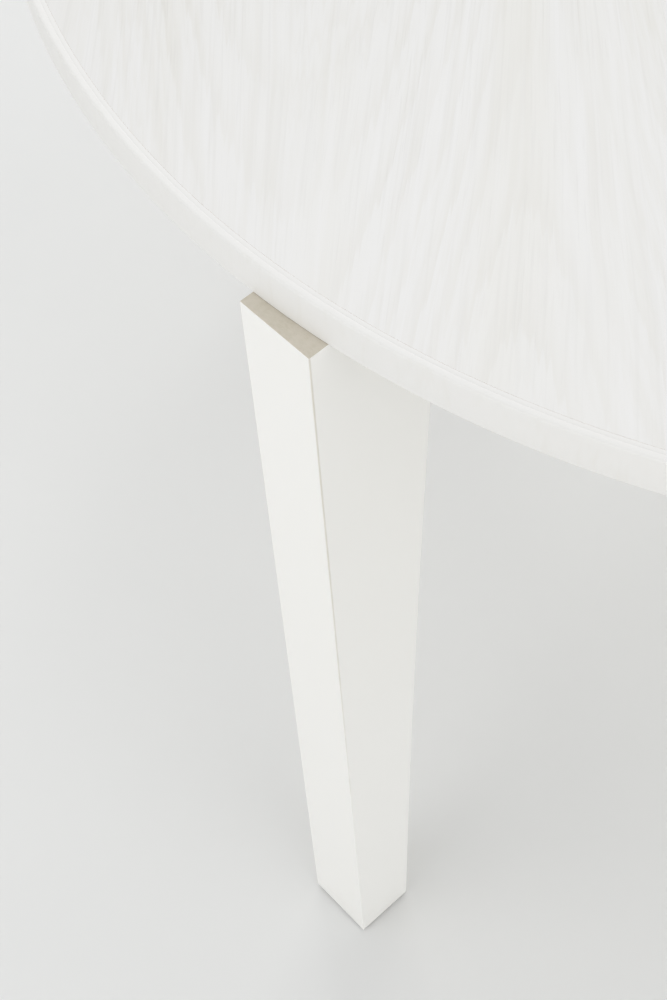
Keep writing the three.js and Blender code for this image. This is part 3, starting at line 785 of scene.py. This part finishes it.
front = [(XO, FACE - XO), (FX, FACE - FX), (FX, -(FACE - FX)), (XO, -(FACE - XO))]
rail("front_rail", front, [bolt_cut(s, z) for s in (-1, 1) for z in BOLT_Z] + [button_slot(*b) for b in BUTTONS[:2]])
for label, s in (("left", -1), ("right", 1)):
    side = [(FX + 0.3, FACE - FX - 0.3), (FACE - SY, SY), (-75.3, SY), (-75.3, SY + 24), (FX + 0.3, SY + 24)]
    rail(f"side_rail_{label}", mirrored(side, s), [bolt_cut(s, z) for z in BOLT_Z])
    tri = [(CX, CY), (CX + 56, CY), (CX + 58, CY + 2), (CX + 2, CY + 58), (CX, CY + 56)]
    b = raised(f"corner_block_front_{label}_v", mirrored(tri, s), 652, 720)
    bevel(b, 0.9, 2, 30)
    boolean(b, [bolt_cut(s, z) for z in BOLT_Z])
    tidy(b, 35)
    stand_for(b, f"corner_block_front_{label}", M_PINE_Z)
    rx = -75.3
    tri = [(rx, CY), (rx, CY + 42), (rx - 2, CY + 43), (rx - 43, CY + 2), (rx - 42, CY)]
    b = raised(f"corner_block_rear_{label}_v", mirrored(tri, s), 652, 720)
    bevel(b, 0.9, 2, 30)
    tidy(b, 35)
    stand_for(b, f"corner_block_rear_{label}", M_PINE_Z)

BRACKET_SCREWS = [(-41, 668), (-41, 702), (41, 668), (41, 702)]
rear = [(-75, SY), (-51, SY), (-51, -SY), (-75, -SY)]
rail("rear_rail", rear, [button_slot(*b) for b in BUTTONS[2:]] +
     [hole(2.4, 0, 40, (-71, y, z), (1, 0, 0), seg=16) for y, z in BRACKET_SCREWS])

# wooden buttons and their screws
for i, (x, d, y) in enumerate(BUTTONS):
    prof = [(-8.3, 708.2), (38, 708.0), (38, 725.7), (0.3, 725.7), (0.3, 716), (-8.3, 716)]
    stand = Matrix(((1, 0, 0, 0), (0, 0, -1, 0), (0, 1, 0, 0), (0, 0, 0, 1)))
    o = raised(f"top_button_{i + 1}_v", prof, -14, 14, stand)
    bevel(o, 1.0, 2, 30)
    boolean(o, [hole(2.5, 700, 730, (22, 0, 0), seg=20)])
    if d < 0:
        o.data.transform(Matrix.Rotation(math.pi, 4, "Z"))
    o.data.transform(Matrix.Translation(Vector((x, y, 0)) * MM))
    tidy(o, 35)
    stand_for(o, f"top_button_{i + 1}", M_PINE_X)


def cross(o, z, depth, width, wide, up=1):
    """A cross recess cut into a head whose face is at z."""
    a, b = sorted((z + up * 1.0, z - up * depth))
    boolean(o, [block("cut", -wide, wide, -width, width, a, b), block("cut", -width, width, -wide, wide, a, b)])
    return o


pan = turned("pan_master", [(0, 704.6), (1.9, 704.65), (3.3, 705.0), (4.1, 705.7), (4.4, 706.6), (4.4, 707.6), (2, 707.6), (2, 738), (0.9, 741.5), (0, 741.5)], 32)
cross(pan, 704.6, 1.5, 0.45, 2.1, up=-1)
tidy(pan, 40)
for i, (x, d, y) in enumerate(BUTTONS):
    o = copy_of(pan, f"button_screw_{i + 1}_v", Matrix.Translation(Vector((x + d * 22, y, 0)) * MM) @ Matrix.Rotation(0.4 + i, 4, "Z"))
    stand_for(o, f"button_screw_{i + 1}", M_STEEL)
bpy.data.objects.remove(pan)

# bolts through the corner blocks
HEAD = (CX + CY + 60 - OX - OY) * Q + 0.3
bolt = turned("bolt_master", [(0, 45), (3.6, 45), (4, 45.6), (4, HEAD), (8.5, HEAD), (8.5, HEAD + 1.2), (8.2, HEAD + 1.5), (0, HEAD + 1.5)], 48)
hexa = raised("cut", [(6.8 * math.cos(math.radians(60 * i)), 6.8 * math.sin(math.radians(60 * i))) for i in range(6)], HEAD + 1.0, HEAD + 7)
bevel(hexa, 0.35, 2, 40)
boolean(bolt, [hexa], "UNION")
tidy(bolt, 35)
for label, s in (("left", -1), ("right", 1)):
    for z, level in zip(BOLT_Z, ("lower", "upper")):
        m = leg_matrix(leg_outer(s), -s * math.pi / 4) @ axis_matrix((0, 0, z), (1, 0, 0)) @ Matrix.Rotation(0.3 * s + z, 4, "Z")
        o = copy_of(bolt, f"leg_bolt_{label}_{level}_v", m)
        stand_for(o, f"leg_bolt_{label}_{level}", M_STEEL)
bpy.data.objects.remove(bolt)

# ================================================================== gate pivots
PX = -50.7


to_x = Matrix(((0, 0, 1, 0), (1, 0, 0, 0), (0, 1, 0, 0), (0, 0, 0, 1)))   # x -> y, y -> z, z -> x
plate = raised("pivot_bracket_v", rounded_rect(-52, 52, 650, 720, 4), PX, PX + 3, to_x)
bevel(plate, 0.4, 2, 40)
ears = []
for s in (-1, 1):
    y = s * PIVOT[1]
    for a, b in ((650, 653), (717, 720)):
        pts = [(PX + 1, y - 12), (PIVOT[0], y - 12)]
        pts += [(PIVOT[0] + 12 * math.sin(math.pi * i / 20), y - 12 * math.cos(math.pi * i / 20)) for i in range(1, 20)]
        pts += [(PIVOT[0], y + 12), (PX + 1, y + 12)]
        e = raised("ear", pts, a, b)
        bevel(e, 0.4, 2, 40)
        ears.append(e)
boolean(plate, ears, "UNION")
cuts = [hole(4.35, 640, 730, (PIVOT[0], s * PIVOT[1], 0), seg=32) for s in (-1, 1)]
for y, z in BRACKET_SCREWS:
    cuts.append(turned("cut", [(0, -5), (2.5, -5), (2.5, 1.1), (4.8, 3.2), (4.8, 6), (0, 6)], 32, axis_matrix((PX, y, z), (1, 0, 0))))
boolean(plate, cuts)
tidy(plate, 35)
stand_for(plate, "pivot_bracket", M_STEEL)

flat = turned("flat_master", [(0, -18), (0.9, -17), (2.0, -14), (2.0, 1.1), (4.25, 2.8), (4.25, 2.9), (0, 2.9)], 32)
cross(flat, 2.9, 1.4, 0.45, 2.0)
tidy(flat, 35)
for i, (y, z) in enumerate(BRACKET_SCREWS):
    o = copy_of(flat, f"bracket_screw_{i + 1}_v", axis_matrix((PX, y, z), (1, 0, 0)) @ Matrix.Rotation(0.3 + 0.7 * i, 4, "Z"))
    stand_for(o, f"bracket_screw_{i + 1}", M_STEEL)
bpy.data.objects.remove(flat)

for label, s in (("left", -1), ("right", 1)):
    here = Vector((PIVOT[0], s * PIVOT[1], 0)) * MM
    pin = turned(f"gate_pin_{label}_v", [(0, 645), (3.2, 645), (3.9, 645.7), (4, 646.2), (4, 647.6), (3.4, 647.8), (3.4, 648.8), (4, 649.0), (4, 720.3), (7, 720.3), (7, 722.0), (6.6, 722.9), (5.6, 723.3), (0, 723.3)], 40)
    pin.data.transform(Matrix.Translation(here))
    tidy(pin, 35)
    stand_for(pin, f"gate_pin_{label}", M_STEEL)

    ga = s * GATE_ANGLE
    m = Matrix.Translation(here) @ Matrix.Rotation(ga, 4, "Z")
    end = REACH - LEG_TOP - 0.3
    pts = [(end, -12), (end, 12), (0, 12)]
    pts += [(-12 * math.sin(math.pi * i / 24), 12 * math.cos(math.pi * i / 24)) for i in range(1, 24)]
    pts += [(0, -12)]
    o = raised(f"gate_rail_{label}_v", pts, 654, 716)
    bevel(o, 1.1, 3, 35)
    boolean(o, [block("tenon", end - 4, end + 24.8, -5, 5, 664, 706)], "UNION")
    boolean(o, [hole(4.35, 640, 730, seg=32)])
    tidy(o, 35)
    at = o.data.attributes.new("local", "FLOAT_VECTOR", "POINT")
    at.data.foreach_set("vector", [c for v in o.data.vertices for c in v.co])
    o.data.transform(m)
    stand_for(o, f"gate_rail_{label}", M_GATE)

    y0, y1 = (25.5, 41.5) if s < 0 else (-41.5, -25.5)
    o = block(f"gate_stop_{label}_v", 455, 515, y0, y1, 711.7, 725.7)
    bevel(o, 1.2, 3, 35)
    tidy(o, 35)
    o.data.transform(m)
    stand_for(o, f"gate_stop_{label}", M_PINE_Y)

# ================================================================== let-in hinges


def hinge_plate(label, y, kind, side):
    a, b = (-22.0, -1.0) if side < 0 else (1.0, 22.0)
    o = raised(f"hinge_{label}_{kind}_plate_v", rounded_rect(a, b, y - 33, y + 33, 0.6, 3), 748.0, 749.9)
    bevel(o, 0.2, 2, 40)
    cuts, knuckles = [], []
    for k, (p, q) in enumerate(((-33, -11.3), (-10.9, 10.9), (11.3, 33))):
        mine = (k != 1) if side < 0 else (k == 1)
        if mine:
            e = 0.35
            knuckles.append(turned("k", [(0, p), (2.5 - e, p), (2.5, p + e), (2.5, q - e), (2.5 - e, q), (0, q)], 40, axis_matrix((0, y, AXIS_Z), (0, 1, 0))))
        else:
            cuts.append(block("cut", -3.2, 3.2, y + (p if k else p - 1) - (0.4 if k == 1 else 0.2), y + (q if k < 2 else q + 1) + (0.4 if k == 1 else 0.2), 740, 760))
    boolean(o, cuts)
    boolean(o, knuckles, "UNION")
    cuts = [hole(1.45, -40, 40, (0, y, AXIS_Z), (0, 1, 0), seg=24)]
    for dy in (-20, 20):
        cuts.append(turned("cut", [(0, 747), (1.95, 747), (1.95, 748.1), (3.5, 749.7), (3.5, 751), (0, 751)], 32, Matrix.Translation(Vector((side * 13, y + dy, 0)) * MM)))
    boolean(o, cuts)
    tidy(o, 32)
    stand_for(o, f"hinge_{label}_{kind}_plate", M_BRASS)


brass_screw = turned("brass_master", [(0, 733), (1.0, 734), (1.6, 736), (1.6, 748.2), (3.15, 749.65), (3.2, 749.75), (3.1, 749.8), (0, 749.8)], 32)
boolean(brass_screw, [block("cut", -4, 4, -0.4, 0.4, 749.0, 751)])
tidy(brass_screw, 35)
for label, y in HINGES:
    for kind, side in (("fixed", -1), ("leaf", 1)):
        hinge_plate(label, y, kind, side)
        for i, dy in enumerate((-20, 20)):
            m = Matrix.Translation(Vector((side * 13, y + dy, 0)) * MM) @ Matrix.Rotation(0.5 + i * 1.1 + side * 0.4 + y, 4, "Z")
            o = copy_of(brass_screw, f"hinge_{label}_{kind}_screw_{i + 1}_v", m)
            stand_for(o, f"hinge_{label}_{kind}_screw_{i + 1}", M_BRASS)
    pin = turned(f"hinge_{label}_pin_v", [(0, -33), (0.9, -33), (1.2, -32.7), (1.2, 32.7), (0.9, 33), (0, 33)], 24, axis_matrix((0, y, AXIS_Z), (0, 1, 0)))
    tidy(pin, 35)
    stand_for(pin, f"hinge_{label}_pin", M_BRASS)
bpy.data.objects.remove(brass_screw)

# ================================================================== floor, light, camera
bm = bmesh.new()
bmesh.ops.create_grid(bm, x_segments=4, y_segments=4, size=9.0)
floor = from_bm("floor", bm)
fn = Nodes("floor_paper")
fa = fn.noise(fn.scaled((2.0, 2.0, 1.0)), 1.0, 2.0, 0.5)
fn.set("Base Color", fn.mix(fn.span(fa, 0.3, 0.7), srgb(*(227, 227, 225)), srgb(*(225, 225, 223))))
fn.set("Roughness", 0.75)
fn.set("Specular IOR Level", 0.2)
floor.data.materials.append(fn.mat)

world = bpy.data.worlds.new("studio")
scene.world = world
world.use_nodes = True
bg = world.node_tree.nodes["Background"]
bg.inputs[0].default_value = (0.97, 0.98, 1.0, 1)
bg.inputs[1].default_value = 0.774


def softbox(name, location, target, size, power, colour=(1, 1, 1)):
    light = bpy.data.lights.new(name, "AREA")
    light.shape = "RECTANGLE"
    light.size, light.size_y = size
    light.energy = power
    light.color = colour
    o = bpy.data.objects.new(name, light)
    scene.collection.objects.link(o)
    o.location = location
    o.rotation_euler = (Vector(target) - Vector(location)).to_track_quat("-Z", "Y").to_euler()
    return o


AIM = (-0.2, -0.3, 0.3)
softbox("overhead", (-0.4, -0.7, 3.2), AIM, (3.0, 3.0), 2.5)
softbox("left_front", (-2.6, -1.6, 2.4), AIM, (2.6, 2.6), 15.5)
softbox("right_front", (2.0, -2.4, 2.5), AIM, (2.6, 2.6), 9.3)
softbox("back", (0.0, 3.2, 2.4), AIM, (2.6, 2.6), 51)
FOOT = (-0.36, -0.42, 0.1)
softbox("low_right", (1.5, -2.7, 0.8), FOOT, (1.8, 1.8), 11.4)
softbox("low_left", (-2.5, -2.1, 0.8), FOOT, (1.8, 1.8), 8.5)

cam = bpy.data.cameras.new("camera")
camera = bpy.data.objects.new("camera", cam)
scene.collection.objects.link(camera)
yaw, pitch, roll = (math.radians(v) for v in (-6.512, 55.940, -4.793))
fw = Vector((math.sin(yaw) * math.cos(pitch), math.cos(yaw) * math.cos(pitch), -math.sin(pitch)))
right = fw.cross(Vector((0, 0, 1))).normalized()
up = right.cross(fw)
r2 = right * math.cos(roll) + up * math.sin(roll)
u2 = -right * math.sin(roll) + up * math.cos(roll)
camera.matrix_world = Matrix.Translation((-0.27892, -0.98030, 1.40838)) @ Matrix((r2, u2, -fw)).transposed().to_4x4()
cam.sensor_width = 36.0
cam.lens = 1858.64 * 36.0 / 1000.0
cam.clip_start, cam.clip_end = 0.05, 60
scene.camera = camera

scene.view_settings.view_transform = "Standard"
scene.view_settings.look = "None"
